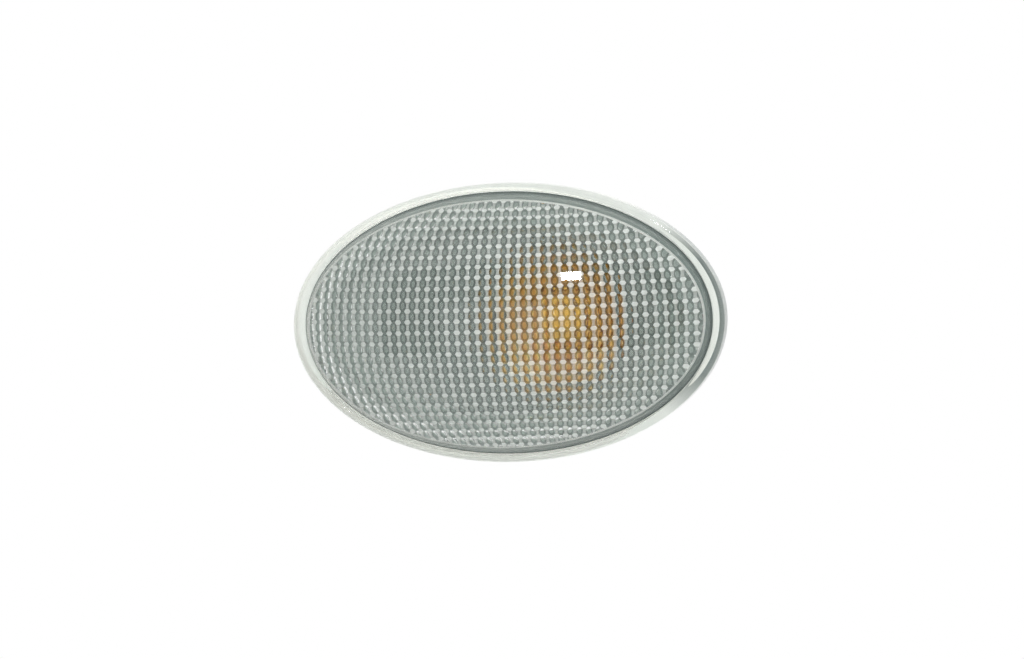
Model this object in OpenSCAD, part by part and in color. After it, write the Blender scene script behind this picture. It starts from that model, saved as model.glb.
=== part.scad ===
// Side repeater lamp for a car's front wing.
// A clear oval lens with pillow optics moulded into its inner face covers a metallised reflector
// and an amber wedge bulb. The housing hooks and clips into a hole in the wing, and the bulb comes
// out at the back in a twist-lock holder.
// The lens faces -Y, the long axis lies along X and +Z is up. The wing's outer skin is the plane Y = 0.

/* [Rim] */
// Width of the lens rim, along the car
rim_w = 88; // [82:1:100]
// Height of the lens rim
rim_h = 56; // [52:1:66]
// Width of the raised lip at the two ends of the oval
lip_end = 2.3; // [1.8:0.1:3]
// Width of the raised lip at the top and the bottom
lip_side = 1.6; // [1.3:0.1:2.4]
// How far the crest of the lip stands in front of the wing
lip_front = 6.6; // [6.2:0.1:8]
// Thickness of the skin that wraps round the housing's flange
lip_skin = 0.9; // [0.7:0.1:1.2]

/* [Lens dome] */
// How far the crown of the dome stands in front of the wing
dome_front = 22; // [20:0.5:26]
// How far the dome falls back from its crown to its edge at the two ends
fall_end = 12.48; // [11:0.02:13]
// How far the dome falls back from its crown to its edge at the top and the bottom
fall_side = 10.98; // [10:0.02:12]
// How far the dome's edge lies inside its foot at the two ends
draft_end = 1.5; // [1:0.1:2.4]
// How far the dome's edge lies inside its foot at the top and the bottom
draft_side = 2.0; // [1:0.1:2.6]
// Wall thickness of the dome
lens_t = 2.2; // [1.8:0.1:2.6]
// Thickness of the tongue that stands in the housing's groove
tongue_t = 1.3; // [1:0.1:1.5]

/* [Pillow optics] */
// Width of one pillow, measured on the dome
pillow_w = 2.15; // [2:0.01:3]
// Height of one pillow, measured on the dome
pillow_h = 2.28; // [2:0.01:3]
// How far the middle of a pillow stands out of the ground round it
pillow_rise = 0.38; // [0.2:0.02:0.5]

/* [Housing] */
// Thickness of the housing's walls
wall_t = 1.6; // [1.4:0.1:2]
// Thickness of the flange that carries the lens
flange_t = 2.8; // [2.6:0.1:3.2]
// Depth of the groove for the lens tongue
groove_depth = 1.8; // [1.5:0.1:1.8]
// Depth of the tub behind the wing's outer skin
tub_depth = 12; // [11.6:0.2:14]
// How much smaller the tub is at its back than at the wing, all round
tub_draft = 2.4; // [1:0.2:3]
// Length of the collar behind the tub that the bulb holder locks into
collar_len = 3; // [2.4:0.2:5]

/* [Wing] */
// Thickness of the wing's sheet metal
wing_t = 0.8; // [0.6:0.1:1.2]
// Thickness of the gasket, pressed down
gasket_t = 1.5; // [1:0.1:2.5]
// Width of the gasket's ring
gasket_w = 3.3; // [2.6:0.1:3.6]
// How far the hook reaches behind the wing
hook_reach = 2.6; // [2:0.1:3.4]
// Width of the hook
hook_w = 14; // [10:1:18]
// Thickness of the hook
hook_t = 1.9; // [1.5:0.1:2.4]
// How far the hook's gussets run back along the tub
gusset_len = 7; // [5:0.5:8.5]
// Width of the spring clip
clip_w = 7; // [5:0.5:9]
// Thickness of the spring clip's strip
clip_t = 0.6; // [0.4:0.1:0.8]
// How far the clip's shoulder stands out past the edge of the wing's hole
clip_reach = 1.6; // [1:0.1:2.2]

/* [Reflector] */
// Wall thickness of the reflector
mirror_t = 1.2; // [1:0.1:1.4]
// Distance of the reflector's flat floor in front of the tub's floor
floor_gap = 13.2; // [12:0.2:13.4]
// Slope of the reflector's wall, as how much it narrows from the brim to the floor
wall_slope = 2.4; // [1.6:0.2:4]
// Width of the flat floor left between the cup round the bulb and the wall
cup_margin = 3; // [2:0.5:5]
// How far the mouth of the cup lies from the bulb's axis, towards the middle of the lamp
cup_shift = 3.4; // [0:0.2:4]
// Radius of the hole that the bulb stands in
bulb_hole_r = 6; // [5.6:0.1:6.4]
// Distance between the back of the reflector and the bulb holder
mirror_gap = 1.1; // [0.8:0.1:1.6]

/* [Bulb] */
// Distance of the bulb's axis from the middle of the lamp
bulb_x = 11; // [9:0.5:12]
// Diameter of the bulb's glass
bulb_d = 10; // [9.6:0.1:10.4]
// Length of the bulb, without its contact wires
bulb_len = 26.4; // [25:0.2:27]
// Distance of the bulb's end behind the housing's collar
bulb_back = 2.4; // [2:0.1:3]
// Width of the bulb's flat wedge base
wedge_w = 9.2; // [8.8:0.1:9.4]
// Thickness of the bulb's flat wedge base
wedge_t = 2.3; // [2:0.1:2.6]
// Length of the bulb's flat wedge base
wedge_len = 8.6; // [8:0.1:9.4]
// Distance of the filament in front of the bulb's end
filament_reach = 17.6; // [15:0.2:20]
// Diameter of the bulb's lead wires
lead_d = 0.5; // [0.4:0.05:0.6]

/* [Bulb holder] */
// Radius of the holder's shank, which turns in the housing's bore
shank_r = 9.3; // [9:0.1:9.8]
// Radial running clearance of the shank in the bore
shank_gap = 0.06; // [0.03:0.01:0.1]
// How far the bayonet lugs stand out of the shank
lug_reach = 2; // [1.5:0.1:2.2]
// Thickness of the bayonet lugs
lug_t = 1.8; // [1.4:0.1:2]
// Width of a bayonet lug, as an angle
lug_angle = 24; // [18:1:28]
// Turn between locked and free
turn_angle = 45; // [35:1:50]
// Radius of the flange that presses on the seal
holder_flange_r = 13.6; // [13.2:0.1:14.4]
// Thickness of the seal between the holder and the collar
seal_t = 1.8; // [1.4:0.1:2.4]
// Length of the connector socket
socket_len = 11; // [9:0.5:13]
// Inner width of the connector socket
socket_w = 13.2; // [13:0.1:14.2]
// Inner height of the connector socket
socket_h = 7.8; // [7:0.2:8.4]
// Width of a contact blade
blade_w = 2.8; // [2.6:0.1:3]
// Thickness of the contact strip
strip_t = 0.5; // [0.4:0.05:0.6]

/* [Hidden] */

// Assembly clearance between parts that are pushed together
play = 0.1;
// Gap between parts that turn past each other
turn_play = 0.1;
// Gap that keeps two differently faceted skins apart
facet_gap = 0.06;
// Facets of an oval outline and of a round one
oval_n = 80;
$fn = 64;

// Half width and half height of the ovals, from the rim inwards
rim = [rim_w / 2, rim_h / 2];
wrap_inside = shrink(rim, lip_skin);
flange_edge = shrink(wrap_inside, play);
foot = [rim[0] - lip_end, rim[1] - lip_side];
dome_edge = [foot[0] - draft_end, foot[1] - draft_side];
tongue_outside = shrink(foot, 0.2);
tongue_inside = shrink(tongue_outside, tongue_t);
sealant_t = 0.3;
groove_outside = shrink(tongue_outside, -sealant_t);
groove_inside = shrink(tongue_inside, sealant_t);
optics_edge = shrink(dome_edge, 0.9);
wing_hole = shrink(flange_edge, gasket_w + 0.5);
tub_mouth = shrink(wing_hole, 0.5);
tub_back = shrink(tub_mouth, tub_draft);

// The reflector's outside at its mouth and at its floor
mirror_mouth = shrink(tub_mouth, wall_t + 0.4);
mirror_floor = shrink(mirror_mouth, wall_slope);

// How far the clip's block reaches into the tub, and the face that the clip's leg lies on
block_len = 6;
clip_face = tub_mouth[0] - 0.8;

// Depths along Y
gasket_front = -gasket_t;
seat_y = gasket_front - flange_t;
tongue_y = seat_y + groove_depth - sealant_t;
wrap_y = gasket_front - 0.3;
tub_floor = tub_depth - wall_t;
collar_back = tub_depth + collar_len;
floor_y = tub_floor - floor_gap;

// Radii of the dome's two bows, and the angle of half a pillow each way
bow_long = (pow(dome_edge[0], 2) + pow(fall_end, 2)) / (2 * fall_end);
bow_tall = (pow(dome_edge[1], 2) + pow(fall_side, 2)) / (2 * fall_side);
arm = bow_long - bow_tall;
half_lon = pillow_w / bow_long * 90 / PI;
half_lat = pillow_h / bow_tall * 90 / PI;
lon_n = ceil(asin(optics_edge[0] / (bow_long - lens_t)) / half_lon) + 2;
lat_n = ceil(asin(optics_edge[1] / (bow_tall - lens_t)) / half_lat) + 1;

// A node nearer to the edge than this share of the radius is moved onto the edge
edge_share = 0.985;

// Smallest and largest of the dome's rings, as shares of its edge
dome_rings = [0.9, 0.76, 0.6, 0.42, 0.22];

// The holder along Y
lug_y = tub_floor - turn_play;
holder_front = lug_y - lug_t - 1;
seal_front = collar_back + turn_play;
holder_flange_y = seal_front + seal_t;
bulb_end = collar_back + bulb_back;
bulb_tip = bulb_end - bulb_len;
holder_floor = bulb_end + 0.9;
holder_back = max(holder_floor + 2, holder_flange_y + 2.4);
socket_back = holder_back + socket_len;
bore_r = shank_r + shank_gap;
collar_r = bore_r + 3.2;
lug_r = shank_r + lug_reach;
lugs = 3;
blade_x = 3.8;
wedge_front = bulb_end - wedge_len;
// Where a lead runs in the wedge, and where it is folded back along the wedge's face
post_x = 1.7;
lead_x = 3.1;
// How far behind the front of the wedge the folded lead ends
lead_stop = 2.6;
filament_y = bulb_end - filament_reach;
wedge_slot = [max(wedge_w + 1, 2 * blade_x + blade_w + 0.3), wedge_t + 2 * (lead_d + strip_t) + 2.2];

function shrink(oval, d) = [oval[0] - d, oval[1] - d];
function oval_points(oval) =
    [for (k = [0 : oval_n - 1]) [oval[0] * cos(360 * k / oval_n), oval[1] * sin(360 * k / oval_n)]];

// The dome at a place in plan, or its skin t further in
function dome_y(x, z, t = 0) =
    bow_long - dome_front - sqrt(pow(arm + sqrt(pow(bow_tall - t, 2) - z * z), 2) - x * x);

// A point of the inner skin by its two angles, t in from the outer skin
function skin_point(lon, lat, t) =
    let (swing = arm + (bow_tall - t) * cos(lat))
    [swing * sin(lon), bow_long - dome_front - swing * cos(lon), (bow_tall - t) * sin(lat)];

// The outline of a bent strip of thickness t along the points p
function side_of(p, t) = [for (k = [0 : len(p) - 1])
    let (a = k == 0 ? p[1] - p[0] : p[k] - p[k - 1],
         b = k == len(p) - 1 ? a : p[k + 1] - p[k],
         na = [-a[1], a[0]] / norm(a),
         nb = [-b[1], b[0]] / norm(b))
    p[k] + (na + nb) * t / 2 / (1 + na * nb)];
function turned_round(v) = [for (k = [len(v) - 1 : -1 : 0]) v[k]];
function strip_outline(p, t) = concat(side_of(p, t), turned_round(side_of(p, -t)));

function sorted(v) = len(v) < 2 ? v :
    let (mid = v[floor(len(v) / 2)][0])
    concat(sorted([for (e = v) if (e[0] < mid) e]), [for (e = v) if (e[0] == mid) e],
           sorted([for (e = v) if (e[0] > mid) e]));

// Faces between a loop of nodes and a ring of half as many, whose nodes start at first
function halving(loop, first, n) = concat(
    [for (s = [0 : len(loop) - 1]) [loop[(s + 1) % len(loop)], loop[s], first + ceil(s / 2) % n]],
    [for (k = [0 : n - 1]) [loop[2 * k + 1], first + k, first + (k + 1) % n]]);

// Faces between count rings of n nodes each, one after the other
function bands(first, n, count) = [for (r = [0 : count - 2]) for (k = [0 : n - 1])
    let (a = first + r * n + k, b = first + r * n + (k + 1) % n)
    each [[a, b + n, b], [a, a + n, b + n]]];

// A plan drawn in X and Z, from Y = y0 back to Y = y1
module slab(y0, y1) {
    translate([0, y1, 0]) rotate([90, 0, 0]) linear_extrude(y1 - y0) children();
}

module oval(size) {
    polygon(oval_points(size));
}

module oval_ring(outer, inner, y0, y1) {
    slab(y0, y1) difference() {
        oval(outer);
        oval(inner);
    }
}

// A solid oval that narrows from front to back
module oval_taper(front, back, y0, y1) {
    hull() {
        slab(y0, y0 + 0.01) oval(front);
        slab(y1 - 0.01, y1) oval(back);
    }
}

// Turned about the bulb's axis: the profile's points are radius and Y
module turned(profile) {
    translate([bulb_x, 0, 0]) rotate([-90, 0, 0]) rotate_extrude($fn = 96) polygon(profile);
}

module disc(r, y0, y1) {
    translate([bulb_x, y1, 0]) rotate([90, 0, 0]) cylinder(r = r, h = y1 - y0, $fn = 96);
}

// A bar across the bulb's axis, w wide and h high
module bar(w, h, y0, y1, x = 0, z = 0) {
    translate([bulb_x + x - w / 2, y0, z - h / 2]) cube([w, y1 - y0, h]);
}

// A rod along Y at an offset from the bulb's axis
module rod(x, z, r, y0, y1) {
    translate([bulb_x + x, y1, z]) rotate([90, 0, 0]) cylinder(r = r, h = y1 - y0, $fn = 24);
}

// Wedges of the bayonet: a ring cut down to the lugs, turned by an angle
module lug_ring(r, y0, y1, angle, spread) {
    for (k = [0 : lugs - 1])
        translate([bulb_x, y1, 0]) rotate([90, 0, 0]) rotate([0, 0, angle + k * 360 / lugs - spread / 2])
            linear_extrude(y1 - y0) polygon(concat([[0, 0]],
                [for (s = [0 : 8]) [r * cos(spread * s / 8), r * sin(spread * s / 8)]]));
}

// The lens is one closed skin: half-pillow nodes inside, then rings that share the angles of the
// nodes on the optics' edge, out over the tongue, the seat, the wrap and the lip, and up the dome.
module lens() {
    cols = 2 * lon_n + 1;
    rows = 2 * lat_n + 1;
    flat = [for (i = [-lon_n : lon_n]) [for (j = [-lat_n : lat_n])
        skin_point(i * half_lon, j * half_lat, lens_t)]];
    within = [for (c = flat) [for (p = c)
        norm([p[0] / optics_edge[0], p[2] / optics_edge[1]]) < edge_share]];
    angle = [for (c = flat) [for (p = c)
        (atan2(p[2] / optics_edge[1], p[0] / optics_edge[0]) + 360) % 360]];
    // 0 on a pillow's corner, 1 half way along its side and 2 in its middle. Only the middle stands
    // out, so that the corners of four pillows leave a flat diamond of ground between them.
    place = [for (i = [0 : cols - 1]) [for (j = [0 : rows - 1])
        abs(i - lon_n + 1) % 2 + abs(j - lat_n + 1) % 2]];
    nodes = [for (i = [0 : cols - 1]) for (j = [0 : rows - 1])
        within[i][j]
            ? skin_point((i - lon_n) * half_lon, (j - lat_n) * half_lat,
                         lens_t + (place[i][j] == 2 ? pillow_rise : 0))
            : let (x = optics_edge[0] * cos(angle[i][j]), z = optics_edge[1] * sin(angle[i][j]))
              [x, dome_y(x, z, lens_t), z]];
    near = [for (i = [0 : cols - 1]) [for (j = [0 : rows - 1])
        len([for (a = [-1 : 1], b = [-1 : 1])
            if (i + a >= 0 && i + a < cols && j + b >= 0 && j + b < rows && within[i + a][j + b]) 1])]];
    edge = sorted([for (i = [0 : cols - 1]) for (j = [0 : rows - 1])
        if (!within[i][j] && near[i][j] > 0) [angle[i][j], i * rows + j]]);
    edge_n = len(edge);
    ring_n = floor(edge_n / 2);
    cap_n = floor(ring_n / 2);
    spokes = [for (k = [0 : ring_n - 1]) edge[2 * k][0]];

    // Each ring: half width, half height, whether Y counts from the dome, and Y
    crest = lip_front;
    rings = [
        [tongue_inside, false, seat_y],
        [tongue_inside, false, tongue_y],
        [tongue_outside, false, tongue_y],
        [tongue_outside, false, seat_y],
        [wrap_inside, false, seat_y],
        [wrap_inside, false, wrap_y],
        [rim, false, wrap_y],
        [rim, false, 1 - crest],
        [shrink(rim, 0.35), false, 0.28 - crest],
        [[rim[0] - lip_end * 0.5, rim[1] - lip_side * 0.5], false, -crest],
        [shrink(foot, -0.35), false, 0.25 - crest],
        [foot, false, 0.8 - crest],
        [shrink(dome_edge, -0.2), true, 0.5],
        [shrink(dome_edge, 0.4), true, 0]];
    ring_points = [for (r = rings) for (a = spokes)
        let (x = r[0][0] * cos(a), z = r[0][1] * sin(a))
        [x, r[1] ? dome_y(x, z) + r[2] : r[2], z]];
    cap_points = [for (f = dome_rings) for (k = [0 : cap_n - 1])
        let (x = dome_edge[0] * f * cos(spokes[2 * k]), z = dome_edge[1] * f * sin(spokes[2 * k]))
        [x, dome_y(x, z), z]];
    first = cols * rows;
    last_ring = first + (len(rings) - 1) * ring_n;
    cap = last_ring + ring_n;
    crown = cap + len(dome_rings) * cap_n;

    pillow_faces = [for (i = [0 : cols - 2]) for (j = [0 : rows - 2])
        let (a = i * rows + j, b = a + rows, c = b + 1, d = a + 1,
             ia = within[i][j], ib = within[i + 1][j], ic = within[i + 1][j + 1], id = within[i][j + 1],
             count = len([for (w = [ia, ib, ic, id]) if (w) 1]),
             slant = count == 1 ? (ia || ic) : place[i][j] == 1)
        if (count > 0)
            each slant ? [[a, b, c], [a, c, d]] : [[a, b, d], [b, c, d]]];
    crown_faces = [for (k = [0 : cap_n - 1]) [crown - cap_n + (k + 1) % cap_n, crown - cap_n + k, crown]];

    color([0.80, 0.84, 0.83, 0.55])
        polyhedron(points = concat(nodes, ring_points, cap_points, [[0, -dome_front, 0]]),
                   faces = concat(pillow_faces, halving([for (e = edge) e[1]], first, ring_n),
                                  bands(first, ring_n, len(rings)),
                                  halving([for (k = [0 : ring_n - 1]) last_ring + k], cap, cap_n),
                                  bands(cap, cap_n, len(dome_rings)), crown_faces));
}

// The bead of sealant fills the groove round the lens tongue.
module lens_sealant() {
    color([0.84, 0.85, 0.83]) difference() {
        oval_ring(groove_outside, groove_inside, seat_y, seat_y + groove_depth);
        oval_ring(shrink(tongue_outside, -facet_gap), shrink(tongue_inside, facet_gap), seat_y - 1,
                  tongue_y + facet_gap);
    }
}

// A flat hook behind the wing, with cut corners, and two gussets that hold it to the tub's end
module hook() {
    front = wing_t + 0.4;
    root = -tub_mouth[0] + wall_t + 0.4;
    end = -wing_hole[0] - hook_reach;
    half = hook_w / 2;
    corner = 1.5;
    gusset_t = 1.2;
    slab(front, front + hook_t)
        polygon([[root, half], [end + corner, half], [end, half - corner], [end, corner - half],
                 [end + corner, -half], [root, -half]]);
    for (z = [gusset_t - half, half - 2 * gusset_t])
        translate([0, 0, z]) linear_extrude(gusset_t)
            polygon([[root + 0.5, front + hook_t / 2], [end + hook_reach - 0.8, front + hook_t / 2],
                     [end + hook_reach + 1.2, front + gusset_len * 0.64], [root + 0.5, front + gusset_len]]);
}

// The block at the tub's other end, whose two rails guide the spring clip
module clip_block() {
    half = clip_w / 2 + 1.2;
    slab(gasket_front, tub_depth - 1) intersection() {
        oval(shrink(wing_hole, 0.2));
        translate([tub_mouth[0] - block_len, -half]) square([2 * block_len, 2 * half]);
    }
}

// The flat channel between the rails that the clip is pushed into
module clip_channel() {
    translate([clip_face, 0, -clip_w / 2 - play])
        cube([hook_reach + 3, tub_depth + 1, clip_w + 2 * play]);
}

module housing() {
    color([0.80, 0.80, 0.77]) {
        difference() {
            union() {
                oval_ring(flange_edge, shrink(tub_mouth, wall_t), seat_y, gasket_front);
                oval_taper(tub_mouth, tub_back, gasket_front, tub_depth);
                hook();
                clip_block();
                disc(collar_r, tub_depth - 0.5, collar_back);
                collar_ribs();
            }
            oval_taper(shrink(tub_mouth, wall_t), shrink(tub_back, wall_t), seat_y - 1, tub_floor);
            oval_ring(groove_outside, groove_inside, seat_y - 1, seat_y + groove_depth);
            clip_channel();
            disc(bore_r, tub_floor - 1, collar_back + 1);
            lug_ring(lug_r + 0.3, tub_floor - 1, collar_back + 1, turn_angle, lug_angle + 4);
        }
        lug_stop();
    }
}

// Ribs that brace the collar against the back of the tub
module collar_ribs() {
    for (k = [0 : 5])
        translate([bulb_x, 0, 0]) rotate([0, 30 + 60 * k, 0])
            translate([bore_r + 1, tub_depth - 0.5, -0.7]) linear_extrude(1.4)
                polygon([[0, 0], [tub_back[1] - bore_r - 3.2, 0], [tub_back[1] - bore_r - 3.2, 0.9],
                         [2.6, collar_len], [0, collar_len]]);
}

// A stop inside the tub that the first lug rests against when the holder is locked
module lug_stop() {
    difference() {
        lug_ring(lug_r, tub_floor - lug_t, tub_floor + 0.2, -lug_angle / 2 - 4.6, 8);
        disc(bore_r + 0.4, tub_floor - lug_t - 1, tub_floor + 1);
    }
}

// A cone about the bulb's axis whose mouth is shifted towards the middle of the lamp
module leaning_cone(mouth_r, foot_r, y0, y1) {
    hull() {
        translate([-cup_shift, 0, 0]) disc(mouth_r, y0, y0 + 0.01);
        disc(foot_r, y1 - 0.01, y1);
    }
}

// A flat floor inside a low oval wall, with a deep cup round the bulb that shows the bulb's colour
// from the side. The brim lies on the housing, inside the lens.
module reflector() {
    cup_mouth = mirror_floor[1] - cup_margin;
    cup_foot = bulb_hole_r + 0.5;
    cup_back = holder_front - mirror_gap - mirror_t;
    color([0.72, 0.74, 0.74]) difference() {
        union() {
            slab(seat_y - 1, seat_y) oval(shrink(dome_edge, 1.3));
            oval_taper(mirror_mouth, mirror_floor, seat_y - 0.5, floor_y + mirror_t);
            leaning_cone(cup_mouth + mirror_t, cup_foot + mirror_t, floor_y, cup_back + mirror_t);
        }
        oval_taper(shrink(mirror_mouth, mirror_t), shrink(mirror_floor, mirror_t), seat_y - 1.2, floor_y);
        leaning_cone(cup_mouth, cup_foot, floor_y - 0.01, cup_back);
        disc(bulb_hole_r, floor_y, cup_back + 5);
    }
}

module panel_gasket() {
    color([0.13, 0.13, 0.13])
        oval_ring(shrink(flange_edge, 0.4), shrink(flange_edge, 0.4 + gasket_w), gasket_front, 0);
}

// A folded strip of spring steel: the flat leg lies on the housing's pad and the arm snaps out
// behind the edge of the wing's hole.
module spring_clip() {
    leg = clip_face + play / 2 + clip_t / 2;
    fold = 0.8;
    turn = tub_depth - 2 - fold;
    out = wing_hole[0] + clip_reach;
    color([0.62, 0.63, 0.64])
        translate([0, 0, -clip_w / 2]) linear_extrude(clip_w)
            polygon(strip_outline(concat([[leg, 0.6]],
                [for (a = [180 : -30 : 0]) [leg + fold + fold * cos(a), turn + fold * sin(a)]],
                [[out, wing_t + 3.2], [out - 0.1, wing_t + 2.4],
                 [leg + clip_t + 0.6, wing_t + 0.8]]), clip_t));
}

module bulb_holder() {
    wall = 1.2;
    color([0.16, 0.16, 0.17]) difference() {
        union() {
            disc(shank_r, holder_front, holder_flange_y + 1);
            lug_ring(lug_r, lug_y - lug_t, lug_y, 0, lug_angle);
            disc(holder_flange_r, holder_flange_y, holder_flange_y + 1.6);
            disc(shank_r + 1, holder_flange_y, holder_back);
            bar(socket_w + 2 * wall, socket_h + 2 * wall, holder_back - 1, socket_back);
            // Two wings to turn the holder by
            for (side = [-1, 1])
                bar(3.2, 2.6, holder_flange_y + 1, holder_back + 4, side * (shank_r + 0.6));
        }
        disc(bulb_d / 2 + 0.4, holder_front - 1, wedge_front + 1.2);
        bar(wedge_slot[0], wedge_slot[1], wedge_front, holder_floor);
        bar(socket_w, socket_h, holder_back + 0.6, socket_back + 1);
        for (side = [-1, 1])
            bar(blade_w + 0.1, wedge_slot[1] - 0.4, holder_floor - 1, holder_back + 1, side * blade_x);
    }
}

module holder_seal() {
    color([0.10, 0.10, 0.10]) difference() {
        disc(collar_r - 0.6, seal_front, holder_flange_y);
        disc(shank_r + 0.02, seal_front - 1, holder_flange_y + 1);
    }
}

// One strip of brass is both the spring that grips the bulb's lead and the blade in the socket.
// side is -1 for the left contact, which lies above the wedge, and 1 for the right one, below it.
module contact(side) {
    touch = wedge_t / 2 + lead_d + strip_t / 2;
    path = [[wedge_front + 1.4, touch + 0.9], [wedge_front + 3.4, touch], [wedge_front + 5.6, touch + 0.45],
            [holder_floor + 0.4, touch + 0.45], [holder_back + 0.2, 0], [socket_back - 1.6, 0]];
    color([0.78, 0.64, 0.30])
        translate([bulb_x + side * blade_x - blade_w / 2, 0, 0]) rotate([90, 0, 90])
            linear_extrude(blade_w) polygon(strip_outline([for (p = path) [p[0], -side * p[1]]], strip_t));
}

module contact_left() {
    contact(-1);
}

module contact_right() {
    contact(1);
}

module bulb_glass() {
    r = bulb_d / 2;
    skin = 0.6;
    tip = bulb_tip;
    neck = wedge_front;
    color([0.90, 0.55, 0.12, 0.75]) difference() {
        union() {
            turned([[0, tip], [0.9, tip + 0.1], [2.1, tip + 0.55], [3.4, tip + 1.5], [4.3, tip + 2.9],
                    [r, tip + 5.4], [r, neck - 1.6], [r - 0.5, neck - 0.4], [r - 1.6, neck], [0, neck]]);
            bar(wedge_w, wedge_t, neck - 1, bulb_end);
        }
        turned([[0, tip + skin], [2.2, tip + skin + 0.9], [3.6, tip + skin + 2.4],
                [r - skin, tip + skin + 5], [r - skin, neck - 2.4], [r - skin - 1, neck - 1.4],
                [0, neck - 1.4]]);
        for (side = [-1, 1])
            rod(side * post_x, 0, lead_d / 2, neck - 2, bulb_end + 1);
    }
}

// One lead: the post inside the glass, out of the wedge's end, across, and back along its face
module bulb_lead(side) {
    r = lead_d / 2;
    face_z = -side * (wedge_t / 2 + r);
    back = bulb_end + r;
    across = [side * (lead_x - post_x), face_z];
    color([0.70, 0.70, 0.70]) {
        rod(side * post_x, 0, r, filament_y, back);
        translate([bulb_x + side * post_x, back, 0]) rotate([0, 90 - atan2(across[1], across[0]), 0])
            cylinder(r = r, h = norm(across), $fn = 24);
        for (end = [[post_x * side, 0], [lead_x * side, face_z]])
            translate([bulb_x + end[0], back, end[1]]) sphere(r = r * 1.08, $fn = 24);
        rod(side * lead_x, face_z, r, wedge_front + lead_stop, back);
    }
}

module bulb_lead_left() {
    bulb_lead(-1);
}

module bulb_lead_right() {
    bulb_lead(1);
}

// The coiled wire between the posts, bowed a little forwards
module filament() {
    span = post_x - lead_d / 2;
    color([0.55, 0.55, 0.55])
        translate([bulb_x - span, filament_y + 0.4, 0]) rotate([0, 90, 0])
            cylinder(r = 0.22, h = 2 * span, $fn = 24);
}

lens();
lens_sealant();
housing();
reflector();
panel_gasket();
spring_clip();
bulb_holder();
holder_seal();
contact_left();
contact_right();
bulb_glass();
bulb_lead_left();
bulb_lead_right();
filament();
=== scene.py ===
# The side repeater lamp dressed for its picture: a clear moulded lens with pillow optics, the
# silvered reflector and amber bulb behind it, and the moulded housing with its rubber and metal.
# Sizes and places are in millimetres, apart from those of the floor, lights and cards, which are in
# metres. Blender works in metres, and MM turns one to the other.
import math

import bpy
import numpy as np
from mathutils import Matrix, Vector


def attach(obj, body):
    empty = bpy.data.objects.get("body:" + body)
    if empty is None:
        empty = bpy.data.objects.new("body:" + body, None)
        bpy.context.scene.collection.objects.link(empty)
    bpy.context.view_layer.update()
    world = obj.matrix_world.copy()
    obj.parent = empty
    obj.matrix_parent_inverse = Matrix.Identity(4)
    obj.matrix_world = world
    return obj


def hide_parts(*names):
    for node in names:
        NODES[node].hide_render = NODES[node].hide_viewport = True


MM = 0.001

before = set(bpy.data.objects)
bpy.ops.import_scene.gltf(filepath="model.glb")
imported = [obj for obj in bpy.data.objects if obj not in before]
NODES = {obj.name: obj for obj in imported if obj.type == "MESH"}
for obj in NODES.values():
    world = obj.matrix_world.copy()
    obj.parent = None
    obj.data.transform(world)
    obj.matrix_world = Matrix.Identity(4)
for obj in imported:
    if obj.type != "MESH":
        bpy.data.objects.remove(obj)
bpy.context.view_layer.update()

# Lens, from the rim inwards, as half width and half height of its ovals. The tongue is 0.04 mm
# slimmer on each side than in the CAD lens, and the wrap on its inside.
RIM = np.array([44.0, 28.0])
WRAP_INSIDE = np.array([43.14, 27.14])
FOOT = np.array([41.7, 26.4])
TONGUE_OUTSIDE = np.array([41.46, 26.16])
TONGUE_INSIDE = np.array([40.24, 24.94])
DOME_EDGE = np.array([40.2, 24.4])
OPTICS_EDGE = np.array([39.3, 23.5])

# How far the lip stands out, the place of the seat, and the rear ends of the tongue and the wrap. The
# seat stands a small gap in front of the housing's flange, so that the two share no plane.
LIP_FRONT = 6.6
SEAT_Y = -4.3
SEAT_GAP = 0.03
TONGUE_Y = -2.84
WRAP_Y = -1.8

# The lip's bulge over its foot, the groove at its root, and the chamfers behind it
LIP_BULGE = 1.0
ROOT_W = 0.3
ROOT_DIP = 0.2
CHAMFER = 0.15
# The dome's rounded edge: how far it starts outside the edge and behind the dome, and ends inside it
EDGE_OUT = 0.25
EDGE_DROP = 0.8
EDGE_IN = 0.9
# Inside, how far outside the optics' edge lie the seam, the wall's start and its bend, and how far
# the bend lies behind the dome. The start lies as far behind the dome as outside the edge.
SEAM_W = 0.05
WALL_START = 0.1
WALL_BEND = 0.6
WALL_BEND_DROP = 0.5
# The share of the seat's width, from the tongue outwards, that is milky
MILKY_SHARE = 0.75

# Steps of the lens's section, the cap's rings with the shares of the dome that they start and end
# at, and how often the angles of the outer rings are evened out
WALL_STEPS = 4
LIP_STEPS = 16
ROOT_STEPS = 3
EDGE_STEPS = 6
CAP_RINGS = 13
CAP_OUTER = 0.95
CAP_INNER = 0.03
EVENING_PASSES = 8

# The dome: how far it stands out, the radii of its two bows and its wall
DOME_FRONT = 22.0
BOW_LONG = 71.0
BOW_TALL = 32.6
LENS_T = 2.2

# One pillow's pitch across and up, measured on the dome, and the share of a pitch by which the rows
# are moved up from the crown
PILLOW_W = 2.15
PILLOW_H = 2.28
ROW_SHIFT = 0.15
# A bump's rise over the ground, the power by which it falls off, and its share of the pitch across
# and up. Up, it is more than the pitch, so that the bumps of a column are chained.
PILLOW_RISE = 0.26
PILLOW_POWER = 2
BUMP_W = 0.74
BUMP_H = 1.05
# A pillow's mesh: its steps, the share of them that a bump takes, the share at which the bump's foot
# begins, how strongly the steps crowd at its top, and how far its tips may go towards the next bump
PILLOW_STEPS = 10
BUMP_SHARE = 0.8
FOOT_SHARE = 0.6
FOOT_SPREAD = 2.0
TIP_LIMIT = 0.99
# The pale patch of painted highlight where four bumps meet starts at these shares of the half pillow's
# steps
PATCH_ACROSS = 0.4
PATCH_UP = 0.6
# Nodes over this share of the optics' edge are moved onto it, and the grid runs past it by some steps
EDGE_CUT = 0.997
SPARE_LONG = 8
SPARE_TALL = 4
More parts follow.
